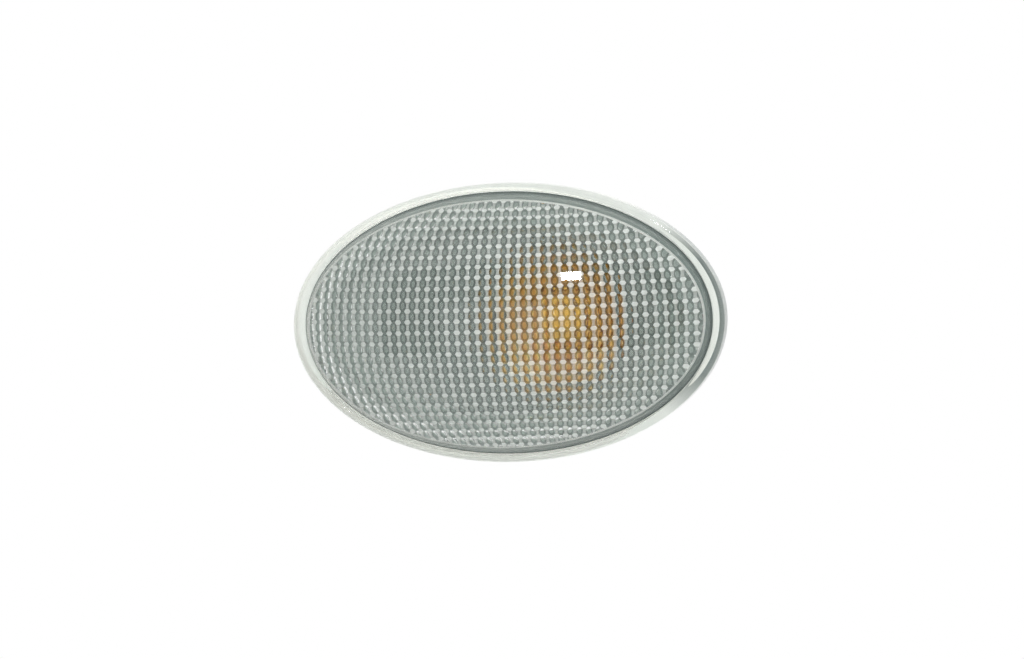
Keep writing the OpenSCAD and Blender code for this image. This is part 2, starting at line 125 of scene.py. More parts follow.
# Shares are compared with a little to spare, and divided by no less than a tiny amount
HAIR = 0.01
ON_SEAM = 0.999
TINY = 1e-9

# The reflector's warm patch, painted amber light: its middle, where it starts and stops fading, and its
# strength
WARM_X = 8.2
WARM_Z = -1.2
WARM_INNER = 10.8
WARM_OUTER = 13.8
WARM_SHARE = 0.9
# Between these places along X the warm patch turns matt, by these shares of its strength
FAR_SIDE = (11, 16)
FAR_SIDE_MATT = (0.2, 1.1)
# The half width and height of the reflector's brim, the shares of them between which its outer part
# turns matt and takes a darker grey of painted shade, and how matt and how shaded it turns
BRIM = (38.9, 23.1)
MATT_FROM = 0.76
MATT_TO = 0.8
OUTSIDE_MATT = 0.9

# Along X, where the painted-shade rings and painted-highlight patches of the lens start and stop
# turning from their left colours
GROUND_FROM = -32
GROUND_TO = 4

# The bulb's axis, the place of the wire between its posts, and half the distance between the posts
BULB_X = 11.0
FILAMENT_Y = -0.2
POST_X = 1.7

# Edges over these angles, in degrees, stay sharp: in the meshes built here, and in the CAD copies
SHARP_BUILT = 35.0
SHARP_CAD = 28.0

# The strength of the even light from all round
ROOM_LIGHT = 0.4
# The softbox that the dome mirrors, and its power in watts
KEY_PLACE = (0.285, -0.965, 0.615)
KEY_W = 0.13
KEY_H = 0.126
KEY_POWER = 2.5
# The softboxes that show in no reflection: name, place, width and power in watts
SOFTBOXES = [
    ("overhead", (0.0, -0.45, 1.0), 0.9, 4.4),
    ("left_fill", (-1.0, -0.8, 0.25), 0.7, 4.2),
    ("right_fill", (1.0, -0.8, 0.1), 0.7, 5.0),
    ("front_fill", (0.35, -1.4, 0.1), 0.5, 3.0),
    ("low_fill", (-0.3, -0.7, -0.5), 0.6, 3.0),
    ("back_left", (-0.8, 1.1, 0.5), 0.8, 4.5),
    ("back_right", (0.9, 1.0, 0.7), 0.8, 3.0)]
# The cards in front of the lamp: name, place, width, height and colour
CARDS = [
    ("paper_in_front", (-0.24, -1.2, -0.08), 0.8, 0.8, "#FFFFFF"),
    ("dim_room_in_front", (0.0, -1.7, 0.0), 4.4, 3.2, "#5F6364")]

# Typical refractive indices, and the tint of acrylic for rays towards the lights
ACRYLIC_IOR = 1.49
GLASS_IOR = 1.5
PANE = "#EEF2F0"

# Sockets of a Mix node that mixes colours, which go by number because their names repeat
MIX_SHARE, MIX_FROM, MIX_TO, MIXED = 0, 6, 7, 2


# Colour and node helpers

def linear(hex_colour):
    """An sRGB hex colour as linear RGBA."""
    parts = [int(hex_colour[k:k + 2], 16) / 255 for k in (1, 3, 5)]
    return [c / 12.92 if c <= 0.04045 else ((c + 0.055) / 1.055) ** 2.4 for c in parts] + [1.0]


def add(tree, kind, values=None, links=None, **settings):
    """One node in a tree, with its settings, socket values and incoming links."""
    node = tree.nodes.new(kind)
    for name, value in settings.items():
        setattr(node, name, value)
    for name, value in (values or {}).items():
        node.inputs[name].default_value = value
    for name, socket in (links or {}).items():
        tree.links.new(socket, node.inputs[name])
    return node


def new_material(name):
    """An empty material, its tree and the surface to link."""
    material = bpy.data.materials.new(name)
    material.use_nodes = True
    tree = material.node_tree
    tree.nodes.clear()
    return material, tree, add(tree, "ShaderNodeOutputMaterial").inputs["Surface"]


def per_mm(size):
    """The scale that gives a texture one feature in so many millimetres."""
    return 1 / (size * MM)


def in_patches(tree, where, patch, detail, colour, other):
    """Two close colours in patches of a size in millimetres."""
    patches = add(tree, "ShaderNodeTexNoise", {"Scale": per_mm(patch), "Detail": detail},
                  {"Vector": where})
    return add(tree, "ShaderNodeMix", {MIX_FROM: linear(colour), MIX_TO: linear(other)},
               {MIX_SHARE: patches.outputs["Fac"]}, data_type="RGBA").outputs[MIXED]


def grained(tree, where, grain, relief, strength=0.35):
    """A fine grain of a size in millimetres, and the normal of the relief that it gives."""
    grains = add(tree, "ShaderNodeTexNoise", {"Scale": per_mm(grain), "Detail": 2.0},
                 {"Vector": where}).outputs["Fac"]
    bump = add(tree, "ShaderNodeBump", {"Strength": strength, "Distance": relief * MM},
               {"Height": grains})
    return grains, bump.outputs["Normal"]


def along(tree, where, axis, start, stop, low=0.0, high=1.0):
    """A value that runs from low to high between two places on an axis."""
    place = add(tree, "ShaderNodeSeparateXYZ", links={"Vector": where})
    return add(tree, "ShaderNodeMapRange",
               {"From Min": start * MM, "From Max": stop * MM, "To Min": low, "To Max": high},
               {"Value": place.outputs[axis]}).outputs[0]


def open_to_light(tree, body, surface, pane):
    """A surface that rays towards the lights pass straight through, tinted as a pane, so that what is
    behind it is lit."""
    open_pane = add(tree, "ShaderNodeBsdfTransparent", {"Color": linear(pane)})
    path = add(tree, "ShaderNodeLightPath")
    mix = add(tree, "ShaderNodeMixShader",
              links={0: path.outputs["Is Shadow Ray"], 1: body.outputs[0], 2: open_pane.outputs[0]})
    tree.links.new(mix.outputs[0], surface)


# Materials

def clear_acrylic():
    """Clear injection-moulded acrylic, polished in the mould: sharp reflections and a faint grey
    depth."""
    material, tree, surface = new_material("clear_acrylic")
    body = add(tree, "ShaderNodeBsdfPrincipled",
               {"Base Color": linear("#F1F5F3"), "Roughness": 0.02, "IOR": ACRYLIC_IOR,
                "Transmission Weight": 1.0})
    open_to_light(tree, body, surface, PANE)
    return material


def amber_lacquer():
    """Bulb glass with an amber lacquer baked on, slightly uneven: it scatters most of the light, so
    the bulb reads as a solid capsule."""
    material, tree, surface = new_material("amber_lacquered_glass")
    where = add(tree, "ShaderNodeTexCoord").outputs["Object"]
    tint = in_patches(tree, where, patch=2.5, detail=2.0, colour="#F4C866", other="#ECBA56")
    body = add(tree, "ShaderNodeBsdfPrincipled",
               {"Roughness": 0.14, "IOR": GLASS_IOR, "Transmission Weight": 0.25},
               {"Base Color": tint})
    open_to_light(tree, body, surface, "#FBDC9C")
    return material


def plain_surface(name, colour, other, patch, roughness, grain, relief, metallic=0.0, spread=0.08,
                  front=None):
    """A moulded, rolled or cured surface: two close colours in patches, and a fine grain that
    breaks up its gloss, by a spread, and its relief. The front, if it has one, is painted light: a
    colour and the two places along Y between which it turns to the surface's own."""
    material, tree, surface = new_material(name)
    where = add(tree, "ShaderNodeTexCoord").outputs["Object"]
    tint = in_patches(tree, where, patch, detail=3.0, colour=colour, other=other)
    if front:
        painted_light_colour, start, stop = front
        tint = add(tree, "ShaderNodeMix", {MIX_FROM: linear(painted_light_colour)},
                   {MIX_SHARE: along(tree, where, "Y", start, stop), MIX_TO: tint},
                   data_type="RGBA").outputs[MIXED]
    grains, normal = grained(tree, where, grain, relief)
    gloss = add(tree, "ShaderNodeMapRange", {"To Min": roughness - spread, "To Max": roughness + spread},
                {"Value": grains})
    body = add(tree, "ShaderNodeBsdfPrincipled", {"Metallic": metallic},
               {"Base Color": tint, "Roughness": gloss.outputs[0], "Normal": normal})
    tree.links.new(body.outputs[0], surface)
    return material


def painted_amber_glow(tree, where):
    """The strength of the warm patch of painted amber light, full in its middle and fading out at its edge.
    """
    from_middle = add(tree, "ShaderNodeVectorMath", {1: (WARM_X * MM, 0, WARM_Z * MM)}, {0: where},
                      operation="SUBTRACT")
    in_plan = add(tree, "ShaderNodeVectorMath", {1: (1, 0, 1)}, {0: from_middle.outputs[0]},
                  operation="MULTIPLY")
    away = add(tree, "ShaderNodeVectorMath", links={0: in_plan.outputs[0]}, operation="LENGTH")
    return add(tree, "ShaderNodeMapRange",
               {"From Min": WARM_INNER * MM, "From Max": WARM_OUTER * MM, "To Min": WARM_SHARE,
                "To Max": 0.0}, {"Value": away.outputs["Value"]}).outputs[0]


def matt_and_shaded_outer_part(tree, where):
    """How matt the reflector is, and how much of its painted shade it takes: not at all inside, and nearly
    fully at its outer wall and brim.
    """
    half_w, half_h = BRIM
    in_oval = add(tree, "ShaderNodeVectorMath", {1: (1 / (half_w * MM), 0, 1 / (half_h * MM))},
                  {0: where}, operation="MULTIPLY")
    outwards = add(tree, "ShaderNodeVectorMath", links={0: in_oval.outputs[0]}, operation="LENGTH")
    return add(tree, "ShaderNodeMapRange",
               {"From Min": MATT_FROM, "From Max": MATT_TO, "To Max": OUTSIDE_MATT},
               {"Value": outwards.outputs["Value"]}).outputs[0]


def metallised_plastic():
    """Aluminium vapour laid on moulded plastic: a soft grey mirror, slightly uneven. The cup's warm
    tint is painted amber light, standing in for the amber light round the bulb in the photo. Its far
    side is matt, because as a mirror it rendered dark. The reflector's outer part is matt and darker:
    as a mirror it repeated the amber. Its darker grey is painted shade."""
    material, tree, surface = new_material("vacuum_metallised_plastic")
    where = add(tree, "ShaderNodeTexCoord").outputs["Object"]
    silver = in_patches(tree, where, patch=12, detail=3.0, colour="#C4CBC7", other="#BAC1BD")
    warm = painted_amber_glow(tree, where)
    matt_and_shade_outside = matt_and_shaded_outer_part(tree, where)
    # The outer part's darker grey is painted shade
    shaded = add(tree, "ShaderNodeMix", {MIX_TO: linear("#9AA19D")},
                 {MIX_SHARE: matt_and_shade_outside, MIX_FROM: silver}, data_type="RGBA")
    # The cup's warm tint is painted amber light
    tint = add(tree, "ShaderNodeMix", {MIX_TO: linear("#EBCA74")},
               {MIX_SHARE: warm, MIX_FROM: shaded.outputs[MIXED]}, data_type="RGBA")
    dulled = add(tree, "ShaderNodeMapRange", {"To Min": 0.22, "To Max": 0.36}, {"Value": warm})
    far_side = along(tree, where, "X", *FAR_SIDE, *FAR_SIDE_MATT)
    matt_cup = add(tree, "ShaderNodeMath", links={0: warm, 1: far_side}, operation="MULTIPLY")
    matt = add(tree, "ShaderNodeMath", links={0: matt_cup.outputs[0], 1: matt_and_shade_outside},
               operation="MAXIMUM")
    metal = add(tree, "ShaderNodeMath", {0: 1.0}, {1: matt.outputs[0]}, operation="SUBTRACT")
    normal = grained(tree, where, grain=1.2, relief=0.02)[1]
    body = add(tree, "ShaderNodeBsdfPrincipled", {},
               {"Base Color": tint.outputs[MIXED], "Roughness": dulled.outputs[0],
                "Metallic": metal.outputs[0], "Normal": normal})
    tree.links.new(body.outputs[0], surface)
    return material


def moulded_acrylic(name, colour, roughness, transmission, left=None):
    """Acrylic from parts of the mould that are less polished than the bumps. On some parts of the lens its
    colour is painted: shade at the bumps' foot and inside the wall, a highlight between their tips. With a
    colour for the left, it turns from that to its own colour over the lens's left half."""
    material, tree, surface = new_material(name)
    body = add(tree, "ShaderNodeBsdfPrincipled",
               {"Base Color": linear(colour), "Roughness": roughness, "IOR": ACRYLIC_IOR,
                "Transmission Weight": transmission})
    if left:
        where = add(tree, "ShaderNodeTexCoord").outputs["Object"]
        tint = add(tree, "ShaderNodeMix", {MIX_FROM: linear(left), MIX_TO: linear(colour)},
                   {MIX_SHARE: along(tree, where, "X", GROUND_FROM, GROUND_TO)}, data_type="RGBA")
        tree.links.new(tint.outputs[MIXED], body.inputs["Base Color"])
    open_to_light(tree, body, surface, PANE)
    return material


def graded_acrylic(name, colour, other, axis, start, stop):
    """Matt acrylic that lets little through, whose colour turns to another between two places on an
    axis. Where it is used, that turn is painted shade."""
    material, tree, surface = new_material(name)
    where = add(tree, "ShaderNodeTexCoord").outputs["Object"]
    tint = add(tree, "ShaderNodeMix", {MIX_FROM: linear(colour), MIX_TO: linear(other)},
               {MIX_SHARE: along(tree, where, axis, start, stop)}, data_type="RGBA")
    body = add(tree, "ShaderNodeBsdfPrincipled",
               {"Roughness": 0.4, "IOR": ACRYLIC_IOR, "Transmission Weight": 0.05},
               {"Base Color": tint.outputs[MIXED]})
    tree.links.new(body.outputs[0], surface)
    return material


CLEAR = clear_acrylic()
# The mould's ground between the bumps, left matt: it scatters, and so looks grey
MATT_GROUND = moulded_acrylic("matt_moulded_acrylic", "#D6D6D3", roughness=0.25, transmission=0.63)
# A grey ring at the foot of each bump is painted shade, standing in for the dark outlines in the photo,
# and a pale matt patch where four bumps meet is a painted highlight for its white dots. On the left
# both come closer to the ground, so the painted shade and highlight are weaker there.
FOOT_OF_BUMP = moulded_acrylic("acrylic_at_the_bumps_foot", "#8E9694", roughness=0.1,
                               transmission=1.0, left="#A4ABA9")
BETWEEN_TIPS = moulded_acrylic("matt_acrylic_between_the_tips", "#EDECEA", roughness=0.35,
                               transmission=0.38, left="#D2D2D0")
# The inside of the steep wall, and the tongue: a grey matt band round the optics, whose grey is painted
# shade
WALL_INSIDE = moulded_acrylic("matt_acrylic_inside_the_wall", "#6E7A77", roughness=0.4,
                              transmission=0.3)
# Behind the lip the lens is milky in the photo, less white towards the bottom, and grey with a darker
# line at the +X end. These three are matched to that: the milky white as a matt colour, and the less
# white bottom and the grey +X end as painted shade.
MILKY_SEAT = graded_acrylic("milky_acrylic_of_the_seat", "#F9F8F4", "#EEE9E1", axis="Z", start=-2,
                            stop=-26)
SEAT_EDGE = graded_acrylic("matt_acrylic_at_the_seats_edge", "#F9F8F4", "#858B89", axis="X", start=31,
                           stop=39)
WRAP_BACK = graded_acrylic("matt_acrylic_of_the_wrap", "#F9F8F4", "#B7BBB9", axis="X", start=24,
                           stop=36)
AMBER = amber_lacquer()
SILVERED = metallised_plastic()

# The real grain of the surfaces below is finer than a pixel, a fifth of a millimetre, so it is drawn
# coarser, at 0.2 to 1 mm

# Pale grey ABS from a lightly etched mould: matt, with a soft sheen at a low angle
PALE_ABS = plain_surface("moulded_pale_abs", "#EEEDE7", "#E6E5DF", patch=9, roughness=0.46,
                         grain=0.35, relief=0.02)
# Glass-filled black nylon: dull, with a slightly mottled skin. The holder's front, inside the cup, is
# painted amber light for the bulb's light, because in black it made dark specks round the bulb.
BLACK_NYLON = plain_surface("glass_filled_black_nylon", "#202123", "#2A2B2D", patch=3, roughness=0.5,
                            grain=0.3, relief=0.03, front=("#B98F4E", 12.0, 14.0))
# Closed-cell EPDM: nearly black and quite matt, with pores that just show
EPDM = plain_surface("closed_cell_epdm", "#1A1A1B", "#242425", patch=1.5, roughness=0.78, grain=0.5,
                     relief=0.06)
# Cured silicone sealant: a milky pale grey, satin
SILICONE = plain_surface("cured_silicone_sealant", "#D6D8D5", "#CCCECB", patch=4, roughness=0.45,
                         grain=1.0, relief=0.05)
# Rolled and hardened strip steel: grey metal with a fine grain
SPRING_STEEL = plain_surface("hardened_strip_steel", "#A5A7A8", "#8F9294", patch=3, roughness=0.3,
                             grain=0.4, relief=0.01, metallic=1.0)
# Stamped brass, slightly tarnished: a warm dull metal
BRASS = plain_surface("stamped_brass", "#C9A659", "#B18C45", patch=2, roughness=0.28, grain=0.4,
                      relief=0.01, metallic=1.0)
# Plated lead wire, drawn: a brownish grey metal
LEAD_WIRE = plain_surface("plated_lead_wire", "#B9A795", "#9C8E80", patch=1, roughness=0.3, grain=0.3,
                          relief=0.005, metallic=1.0)
# Drawn tungsten: a dark grey metal
TUNGSTEN = plain_surface("drawn_tungsten", "#6C6C70", "#58585C", patch=1, roughness=0.4, grain=0.2,
                         relief=0.005, metallic=1.0)

FINISH = {"lens": CLEAR, "lens_sealant": SILICONE, "housing": PALE_ABS, "reflector": SILVERED,
          "panel_gasket": EPDM, "spring_clip": SPRING_STEEL, "bulb_holder": BLACK_NYLON,
          "holder_seal": EPDM, "contact_left": BRASS, "contact_right": BRASS, "bulb_glass": AMBER,
          "bulb_lead_left": LEAD_WIRE, "bulb_lead_right": LEAD_WIRE, "filament": TUNGSTEN}

# The lens's finishes, and how many bands of its section have each, from the optics out to the rim's
# rear corner. The bands after those are clear.
LENS_FINISHES = [CLEAR, MATT_GROUND, FOOT_OF_BUMP, BETWEEN_TIPS, WALL_INSIDE, MILKY_SEAT, SEAT_EDGE,
                 WRAP_BACK]
BANDS = [(BETWEEN_TIPS, 1), (WALL_INSIDE, 8), (MILKY_SEAT, 1), (SEAT_EDGE, 1), (WRAP_BACK, 4)]


def slot_of(finish):
    """The number of a finish among the lens's material slots."""
    return LENS_FINISHES.index(finish)


# Mesh helpers

def make_object(name, points_mm, faces, material):
    """A mesh object from points in millimetres, smooth apart from its sharp edges."""
    mesh = bpy.data.meshes.new(name)
    mesh.from_pydata((np.asarray(points_mm) * MM).tolist(), [], [list(map(int, f)) for f in faces])
    mesh.validate()
    mesh.shade_smooth()
    mesh.set_sharp_from_angle(angle=math.radians(SHARP_BUILT))
    mesh.materials.append(material)
    thing = bpy.data.objects.new(name, mesh)
    bpy.context.scene.collection.objects.link(thing)
    return thing


def dome_y(x, z, t=0.0):
    """Y of the dome's skin, t in from the outer face, at a place in plan."""
    swing = BOW_LONG - BOW_TALL + np.sqrt((BOW_TALL - t) ** 2 - z ** 2)
    return BOW_LONG - DOME_FRONT - np.sqrt(swing ** 2 - x ** 2)


def skin_point(lon, lat, t):
    """A point of the lens by its two angles in radians, t in from the outer face."""
    swing = BOW_LONG - BOW_TALL + (BOW_TALL - t) * np.cos(lat)
    return np.stack([swing * np.sin(lon), BOW_LONG - DOME_FRONT - swing * np.cos(lon),
                     (BOW_TALL - t) * np.sin(lat)], axis=-1)


def corners(grid):
    """A grid's values at the four corners of each of its faces, in order round the face."""
    return [grid[:-1, :-1], grid[1:, :-1], grid[1:, 1:], grid[:-1, 1:]]


def halving(loop, ring):
    """Faces between a loop of point numbers and a ring of half as many."""
    m, n = len(loop), len(ring)
    faces = [(loop[(s + 1) % m], ring[((s + 1) // 2) % n], loop[s]) for s in range(m)]
    faces += [(loop[2 * k + 1], ring[(k + 1) % n], ring[k]) for k in range(n)]
    return faces


def band(ring, following):
    """Quads between two rings of as many points."""
    n = len(ring)
    return [(ring[k], ring[(k + 1) % n], following[(k + 1) % n], following[k]) for k in range(n)]


# The lens

def bump_grid(i, j):
    """For the nodes of the lattice, counted in steps from the crown: the place in the pillow, across
    and up from -1 to 1, the shifts that draw the grid's square rings round as far as the bump goes
    and back to the square seam outside it, and the rise over the ground."""
    u = 2 * ((i / PILLOW_STEPS + 0.5) % 1 - 0.5)
    v = 2 * ((j / PILLOW_STEPS + 0.5) % 1 - 0.5)
    out = np.maximum(np.abs(u), np.abs(v))
    away = np.maximum(np.hypot(u, v), TINY)
    share = np.minimum(out / BUMP_SHARE, 1)
    bump = share ** FOOT_SPREAD
    # 0 up to the bump's foot, and 1 at the seam
    past_foot = np.clip((out - BUMP_SHARE) / (1 - BUMP_SHARE), 0, 1)
    rounded = bump / np.maximum(share, TINY) * out / away * (1 - past_foot) + past_foot
    across = u * rounded * (1 + (BUMP_W / BUMP_SHARE - 1) * (1 - past_foot))
    up = v * rounded * (1 + (BUMP_H / BUMP_SHARE - 1) * (1 - past_foot))
    shift_i = (across - u) / 2 * PILLOW_STEPS
    shift_j = (np.clip(up, -TIP_LIMIT, TIP_LIMIT) - v) / 2 * PILLOW_STEPS * (out < ON_SEAM)
    return u, v, shift_i, shift_j, PILLOW_RISE * (1 - bump ** PILLOW_POWER)


def pillow_field():
    """The inner skin: a lattice of pillows, cut off at the optics' edge by moving the first nodes
    outside it onto it. Gives points, quads, the numbers and angles of the edge's nodes in order, and
    each quad's slot."""
    lon_step = PILLOW_W / BOW_LONG / PILLOW_STEPS
    lat_step = PILLOW_H / BOW_TALL / PILLOW_STEPS
    lon_n = math.ceil(math.asin(OPTICS_EDGE[0] / (BOW_LONG - LENS_T)) / lon_step) + SPARE_LONG
    lat_n = math.ceil(math.asin(OPTICS_EDGE[1] / (BOW_TALL - LENS_T)) / lat_step) + SPARE_TALL
    i, j = np.meshgrid(np.arange(-lon_n, lon_n + 1), np.arange(-lat_n, lat_n + 1), indexing="ij")
    u, v, shift_i, shift_j, rise = bump_grid(i, j)
    row = j + ROW_SHIFT * PILLOW_STEPS
    flat = skin_point(i * lon_step, row * lat_step, LENS_T)
    wide, tall = flat[..., 0] / OPTICS_EDGE[0], flat[..., 2] / OPTICS_EDGE[1]
    within = np.hypot(wide, tall) < EDGE_CUT
    theta = np.arctan2(tall, wide) % (2 * math.pi)
    x, z = OPTICS_EDGE[0] * np.cos(theta), OPTICS_EDGE[1] * np.sin(theta)
    points = np.where(within[..., None],
                      skin_point((i + shift_i) * lon_step, (row + shift_j) * lat_step, LENS_T + rise),
                      np.stack([x, dome_y(x, z, LENS_T), z], axis=-1))
    number = np.arange(i.size).reshape(i.shape)
    kept = np.logical_or.reduce(corners(within))
    quads = np.stack(corners(number), axis=-1)[kept]
    aside = np.minimum.reduce(corners(np.abs(u)))[kept]
    tip = np.minimum.reduce(corners(np.abs(v)))[kept]
    nearest = np.minimum.reduce(corners(np.maximum(np.abs(u), np.abs(v))))[kept]
    # Quads at the bump's foot and neck take the painted shade, and the patch where four bumps meet the
    # painted highlight
    ground = nearest > BUMP_SHARE - HAIR
    patch = ground & (aside > PATCH_ACROSS - HAIR) & (tip > PATCH_UP - HAIR)
    neck = (tip > BUMP_SHARE - HAIR) & (aside < PATCH_ACROSS - HAIR)
    foot = nearest > FOOT_SHARE - HAIR
    slots = np.select([patch, neck, ground, foot],
                      [slot_of(BETWEEN_TIPS), slot_of(FOOT_OF_BUMP), slot_of(MATT_GROUND),
                       slot_of(FOOT_OF_BUMP)], slot_of(CLEAR))
    used = np.zeros(i.size, bool)
    used[quads.ravel()] = True
    fresh = np.cumsum(used) - 1
    edge = np.flatnonzero(used & ~within.ravel())
    edge = edge[np.argsort(theta.ravel()[edge])]
    return (points.reshape(-1, 3)[used], fresh[quads][:, ::-1], fresh[edge],
            theta.ravel()[edge], slots)


def level(y):
    """One depth all round."""
    return lambda x, z: np.full_like(x, y)


def on_dome(drop=0.0, t=0.0):
    """The depth of the dome, t in from the outer face, with a drop behind it."""
    return lambda x, z: dome_y(x, z, t) + drop


def flat_ring(size, y):
    """An oval at one depth."""
    return size, level(y)


def dome_ring(size, t=0.0, at=None):
    """An oval with the dome's depth, t in from the outer face, at its own place or another oval's."""
    half_w, half_h = size if at is None else at
    return size, lambda cos, sin: dome_y(half_w * cos, half_h * sin, t)


def bent(a, b, c, steps):
    """Ovals along a curve from a over b to c, each an oval's half sizes and a function for Y."""
    rings = []
    for k in range(steps + 1):
        t = k / steps
        weights = ((1 - t) ** 2, 2 * t * (1 - t), t ** 2)
        size = sum(w * p[0] for w, p in zip(weights, (a, b, c)))

        def depth(cos, sin, weights=weights):
            return sum(w * p[1](p[0][0] * cos, p[0][1] * sin) for w, p in zip(weights, (a, b, c)))
        rings.append((size, depth))
    return rings


def lens_rings():
    """The lens's section outside the optics: the wall's inside, the tongue, the seat, the wrap, the
    lip, the steep wall and the dome's rounded edge."""
    seat = SEAT_Y - SEAT_GAP
    rings = bent((OPTICS_EDGE + WALL_START, on_dome(WALL_START, LENS_T)),
                 (OPTICS_EDGE + WALL_BEND, on_dome(WALL_BEND_DROP, LENS_T)),
                 (TONGUE_INSIDE, level(SEAT_Y)), WALL_STEPS)
    rings += [flat_ring(TONGUE_INSIDE, TONGUE_Y - CHAMFER), flat_ring(TONGUE_INSIDE + CHAMFER, TONGUE_Y),
              flat_ring(TONGUE_OUTSIDE - CHAMFER, TONGUE_Y), flat_ring(TONGUE_OUTSIDE, TONGUE_Y - CHAMFER),
              flat_ring(TONGUE_OUTSIDE, seat),
              flat_ring(TONGUE_OUTSIDE * (1 - MILKY_SHARE) + WRAP_INSIDE * MILKY_SHARE, seat),
              flat_ring(WRAP_INSIDE, seat),
              flat_ring(WRAP_INSIDE, WRAP_Y - CHAMFER), flat_ring(WRAP_INSIDE + CHAMFER, WRAP_Y),
              flat_ring(RIM - CHAMFER, WRAP_Y), flat_ring(RIM, WRAP_Y - CHAMFER)]
    # The lip is half an oval in section
    lip_y = LIP_BULGE - LIP_FRONT
    for a in np.linspace(0, math.pi, LIP_STEPS + 1):
        share = (1 + math.cos(a)) / 2
        rings.append(flat_ring(FOOT + (RIM - FOOT) * share, lip_y - LIP_BULGE * math.sin(a)))
    # A tight root, the steep wall, and the rounded edge of the dome
    rings += bent((FOOT, level(lip_y)), (FOOT - ROOT_W / 2, level(lip_y + ROOT_DIP)),
                  (FOOT - ROOT_W, level(lip_y - ROOT_DIP)), ROOT_STEPS)[1:]
    rings += bent((DOME_EDGE + EDGE_OUT, on_dome(EDGE_DROP)), (DOME_EDGE, on_dome()),
                  (DOME_EDGE - EDGE_IN, on_dome()), EDGE_STEPS)
    return rings


def build_lens():
    """The lens in one closed skin: the optics, the section round them and the cap of the dome."""
    optics, quads, edge, theta, slots = pillow_field()
    points, faces, count = [optics], [tuple(q) for q in quads], len(optics)

    def lay(rings, angles):
        """Adds the points of ovals, at the given angles, and gives their numbers."""
        nonlocal count
        numbers = []
        cos, sin = np.cos(angles), np.sin(angles)
        for size, depth in rings:
            points.append(np.stack([size[0] * cos, depth(cos, sin), size[1] * sin], axis=-1))
            numbers.append(np.arange(count, count + len(angles)))
            count += len(angles)
        return numbers

    half = theta[0:len(theta) // 2 * 2:2]
    quarter = half[0:len(half) // 2 * 2:2]
    # The angles of the outer rings are evened out, so that the lip reflects without ripples
    for _ in range(EVENING_PASSES):
        before, after = np.roll(quarter, 1), np.roll(quarter, -1)
        before[0] -= 2 * math.pi
        after[-1] += 2 * math.pi
        quarter = (before + 2 * quarter + after) / 4
    seam = lay([dome_ring(OPTICS_EDGE + SEAM_W, LENS_T, at=OPTICS_EDGE)], half)[0]
    faces += halving(edge, seam)
    rings = lay(lens_rings(), quarter)
    faces += halving(seam, rings[0])
    slots = list(slots) + [slot_of(BETWEEN_TIPS)] * (len(faces) - len(slots))
    rings += lay([dome_ring(DOME_EDGE * share) for share in np.linspace(CAP_OUTER, CAP_INNER, CAP_RINGS)],
                 quarter)
    band_slots = [slot_of(finish) for finish, many in BANDS for _ in range(many)]
    band_slots += [slot_of(CLEAR)] * (len(rings) - 1 - len(band_slots))
    for band_slot, ring, following in zip(band_slots, rings, rings[1:]):
        faces += band(ring, following)
        slots += [band_slot] * len(ring)
    points.append(np.array([[0.0, -DOME_FRONT, 0.0]]))
    last = rings[-1]
    faces += [(last[k], last[(k + 1) % len(last)], count) for k in range(len(last))]
    slots += [slot_of(CLEAR)] * len(last)
    lens = make_object("lens_moulding", np.concatenate(points), faces, CLEAR)
    for finish in LENS_FINISHES[1:]:
        lens.data.materials.append(finish)
    lens.data.polygons.foreach_set("material_index", np.array(slots, np.int32))
    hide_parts("lens")
    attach(lens, "lamp_body")
    return lens


# The housing and the reflector keep their CAD shape. A copy carries smooth shading, so that the
# facets of curved walls don't show.

def smooth_copy(node, body):
    """A smooth-shaded copy of a CAD node, which replaces it."""
    mesh = NODES[node].data.copy()
    mesh.materials.clear()
    mesh.materials.append(FINISH[node])
    mesh.shade_smooth()
    mesh.set_sharp_from_angle(angle=math.radians(SHARP_CAD))
    piece = bpy.data.objects.new(node + "_smooth", mesh)
    bpy.context.scene.collection.objects.link(piece)
    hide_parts(node)
    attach(piece, body)
    return piece


def dress_cad_nodes():
    """Each CAD node gets its finish."""
    for node, finish in FINISH.items():
        thing = NODES[node]
        thing.data.materials.clear()
        thing.data.materials.append(finish)


# The coiled filament, which the CAD model holds as a plain rod

def build_filament():
    """A wire coiled between the bulb's posts, in a shallow arch towards the front. It is a tube whose
    rings lie across the coil's direction, closed at both ends."""
    turns, turn_steps, sides = 16, 12, 6
    coil_r, wire_r = 0.2, 0.035
    post_gap, arch = 0.25, 0.4
    span = POST_X - post_gap
    t = np.linspace(0, 1, turns * turn_steps + 1)
    angle = 2 * math.pi * turns * t
    bow = arch * (1 - (2 * t - 1) ** 2)
    centre = np.stack([BULB_X - span + 2 * span * t, FILAMENT_Y + arch - bow + coil_r * np.cos(angle),
                       coil_r * np.sin(angle)], axis=-1)
    forward = np.gradient(centre, axis=0)
    forward /= np.linalg.norm(forward, axis=1)[:, None]
    outward = np.stack([np.zeros_like(t), np.cos(angle), np.sin(angle)], axis=-1)
    across = np.cross(forward, outward)
    across /= np.linalg.norm(across, axis=1)[:, None]
    outward = np.cross(across, forward)
    points, faces = [], []
    for k in range(len(t)):
        for s in range(sides):
            a = 2 * math.pi * s / sides
            points.append(centre[k] + wire_r * (math.cos(a) * outward[k] + math.sin(a) * across[k]))
    for k in range(len(t) - 1):
        for s in range(sides):
            a, b = k * sides + s, k * sides + (s + 1) % sides
            faces.append((a, b, b + sides, a + sides))
    faces += [tuple(range(sides))[::-1], tuple(range(len(points) - sides, len(points)))]
    coil = make_object("filament_coil", points, faces, TUNGSTEN)
    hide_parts("filament")
    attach(coil, "bulb_holder_body")
    return coil


# The stage

